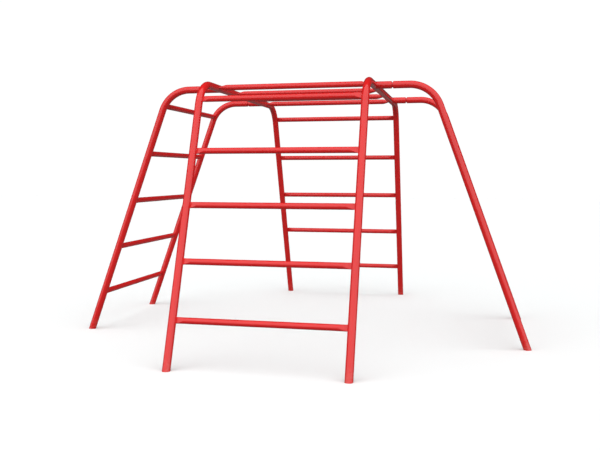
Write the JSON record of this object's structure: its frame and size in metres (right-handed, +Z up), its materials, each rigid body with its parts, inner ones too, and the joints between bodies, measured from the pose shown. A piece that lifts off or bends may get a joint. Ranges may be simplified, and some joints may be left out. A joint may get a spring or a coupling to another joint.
{
  "type": "monkey bars climbing frame",
  "caption": "Free-standing tube climbing frame: overhead rungs between two bent hoops, with a leaning rung ladder on each of the four sides",
  "frame": {"origin": "on the ground, under the middle of the overhead ladder", "axes": "+Z up; +Y along the two hoops, from the front ladder to the rear one; +X to the right ladder"},
  "size_m": [3.1114, 3.1114, 1.7345],
  "materials": {
    "frame_paint": "glossy red powder coat",
    "rung_paint": "glossy red powder coat",
    "screw_steel": "zinc plated",
    "plug_plastic": "moulded"
  },
  "bodies": {
    "root": {"left_hoop": "frame_paint", "right_hoop": "frame_paint", "right_front_stile": "frame_paint", "right_rear_stile": "frame_paint", "left_front_stile": "frame_paint", "left_rear_stile": "frame_paint", "right_front_stub": "frame_paint", "right_rear_stub": "frame_paint", "left_front_stub": "frame_paint", "left_rear_stub": "frame_paint", "right_front_spigot": "frame_paint", "right_rear_spigot": "frame_paint", "left_front_spigot": "frame_paint", "left_rear_spigot": "frame_paint", "right_front_stub_ring": "frame_paint", "right_rear_stub_ring": "frame_paint", "left_front_stub_ring": "frame_paint", "left_rear_stub_ring": "frame_paint", "right_front_stile_ring": "frame_paint", "right_rear_stile_ring": "frame_paint", "left_front_stile_ring": "frame_paint", "left_rear_stile_ring": "frame_paint", "right_front_grub_screw": "screw_steel", "right_rear_grub_screw": "screw_steel", "left_front_grub_screw": "screw_steel", "left_rear_grub_screw": "screw_steel", "front_rung_1": "rung_paint", "front_rung_2": "rung_paint", "front_rung_3": "rung_paint", "front_rung_4": "rung_paint", "front_rung_5": "rung_paint", "right_rung_1": "rung_paint", "right_rung_2": "rung_paint", "right_rung_3": "rung_paint", "right_rung_4": "rung_paint", "right_rung_5": "rung_paint", "rear_rung_1": "rung_paint", "rear_rung_2": "rung_paint", "rear_rung_3": "rung_paint", "rear_rung_4": "rung_paint", "rear_rung_5": "rung_paint", "left_rung_1": "rung_paint", "left_rung_2": "rung_paint", "left_rung_3": "rung_paint", "left_rung_4": "rung_paint", "left_rung_5": "rung_paint", "overhead_rung_1": "rung_paint", "overhead_rung_2": "rung_paint", "overhead_rung_3": "rung_paint", "overhead_rung_4": "rung_paint", "front_foot_plug_1": "plug_plastic", "front_foot_plug_2": "plug_plastic", "right_foot_plug_1": "plug_plastic", "right_foot_plug_2": "plug_plastic", "rear_foot_plug_1": "plug_plastic", "rear_foot_plug_2": "plug_plastic", "left_foot_plug_1": "plug_plastic", "left_foot_plug_2": "plug_plastic"}
  },
  "joints": []
}
